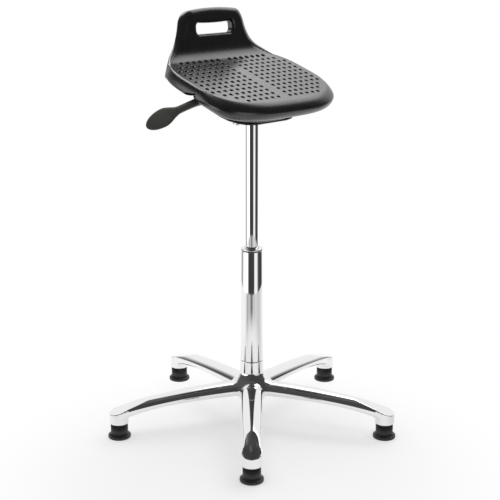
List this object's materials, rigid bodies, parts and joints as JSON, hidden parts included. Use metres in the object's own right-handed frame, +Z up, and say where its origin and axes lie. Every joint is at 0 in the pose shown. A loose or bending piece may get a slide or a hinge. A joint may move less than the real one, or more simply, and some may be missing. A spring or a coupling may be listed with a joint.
{
  "type": "perch stool",
  "caption": "Perch stool with a forward-tilted black foam seat, carrying handle, gas lift with lever and polished star base on glides",
  "frame": {"origin": "On the floor, in the middle of the footprint of the five glides; the column axis stands 14.95 mm to -X and to -Y of it", "axes": "+Z up along the column; the sitter faces -Y; the height lever points to -X"},
  "size_m": [0.6302, 0.6302, 0.9249],
  "materials": {
    "polished_aluminium": "mirror polished casting",
    "chrome": "polished chrome",
    "steel": "bright zinc",
    "black_steel": "black powder coat",
    "brass": "turned",
    "foam": "satin moulded integral skin",
    "plastic": "moulded, matt",
    "lever_plastic": "moulded, satin gloss",
    "rubber": "moulded, matt",
    "plywood": "raw plywood"
  },
  "bodies": {
    "base": {"star_base": "polished_aluminium", "column_tube": "chrome", "column_collar": "chrome", "guide_bush": "plastic", "bearing_lower_race": "steel", "glide_1": "rubber", "glide_stem_1": "steel", "grip_ring_1": "steel", "glide_2": "rubber", "glide_stem_2": "steel", "grip_ring_2": "steel", "glide_3": "rubber", "glide_stem_3": "steel", "grip_ring_3": "steel", "glide_4": "rubber", "glide_stem_4": "steel", "grip_ring_4": "steel", "glide_5": "rubber", "glide_stem_5": "steel", "grip_ring_5": "steel"},
    "rod": {"piston_rod": "steel", "rod_clip": "steel", "bearing_cage": "plastic", "bearing_upper_race": "steel", "bump_stop": "rubber", "piston": "brass", "piston_seal": "rubber"},
    "seat": {"gas_cylinder": "chrome", "rod_guide": "plastic", "rod_seal": "rubber", "valve_body": "brass", "seat_pad": "foam", "seat_board": "plywood", "mounting_plate": "black_steel", "taper_socket": "black_steel", "lever_bracket": "black_steel", "mounting_screw_1": "steel", "screw_washer_1": "steel", "spacer_sleeve_1": "steel", "tee_nut_1": "steel", "mounting_screw_2": "steel", "screw_washer_2": "steel", "spacer_sleeve_2": "steel", "tee_nut_2": "steel", "mounting_screw_3": "steel", "screw_washer_3": "steel", "spacer_sleeve_3": "steel", "tee_nut_3": "steel", "mounting_screw_4": "steel", "screw_washer_4": "steel", "spacer_sleeve_4": "steel", "tee_nut_4": "steel"},
    "lever": {"lever_bar": "black_steel", "lever_handle": "lever_plastic", "lever_pivot": "steel"},
    "pin": {"release_pin": "steel"}
  },
  "joints": [
    {"name": "swivel", "type": "hinge", "parent": "base", "child": "rod", "pos_m": [-0.01494, -0.01494, 0.06], "axis": [0, 0, 1], "continuous": true},
    {"name": "height", "type": "slide", "parent": "rod", "child": "seat", "axis": [0, 0, 1], "range_m": [-0.26, 0]},
    {"name": "lever_tip", "type": "hinge", "parent": "seat", "child": "lever", "pos_m": [-0.08294, -0.01494, 0.748], "axis": [0, 1, 0], "range_deg": [0, 2.5], "stiffness_Nm_per_rad": 10, "springref_deg": -17.19},
    {"name": "pin_press", "type": "slide", "parent": "seat", "child": "pin", "axis": [0, 0, -1], "range_m": [0, 0.003]}
  ],
  "couplings": [
    {"joint": "pin_press", "follows": "lever_tip", "m_per_rad": 0.068}
  ]
}
